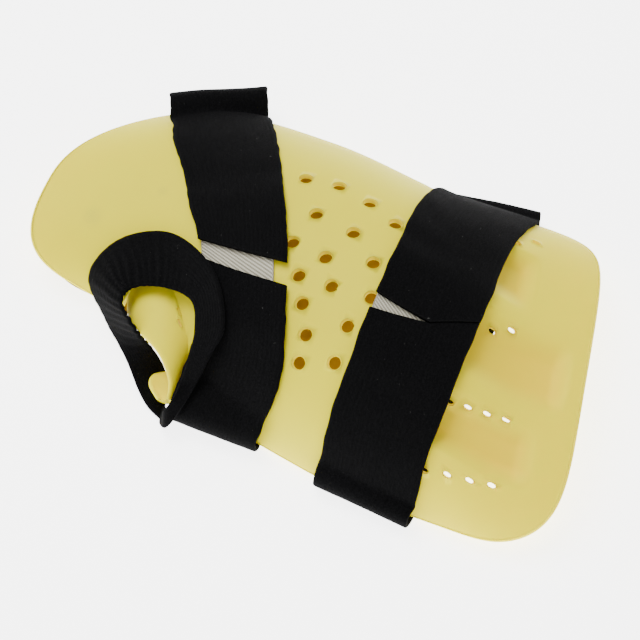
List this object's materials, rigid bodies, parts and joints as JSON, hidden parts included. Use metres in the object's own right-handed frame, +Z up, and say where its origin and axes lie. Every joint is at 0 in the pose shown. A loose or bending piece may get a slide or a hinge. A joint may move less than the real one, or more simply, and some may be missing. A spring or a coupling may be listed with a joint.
{
  "type": "hand splint board",
  "caption": "Moulded hand-shaped splint shell with finger beds, air holes and a thumb trough, with wrist, finger and thumb straps of brushed loop on hook patches.",
  "frame": {"origin": "under the middle of the splint's overall box, on the surface it lies on", "axes": "+X from the wrist to the fingertips, +Y to the little finger's side, +Z up out of the dome"},
  "size_m": [0.2952, 0.2028, 0.062],
  "materials": {
    "shell": "satin, slightly translucent moulded plastic",
    "loop": "brushed loop pile",
    "hook": "woven hook tape"
  },
  "bodies": {
    "root": {"splint_board": "shell", "wrist_strap": "loop", "finger_strap": "loop", "thumb_strap": "loop", "wrist_hook_patch": "hook", "finger_hook_patch": "hook", "thumb_hook_patch": "hook"}
  },
  "joints": []
}
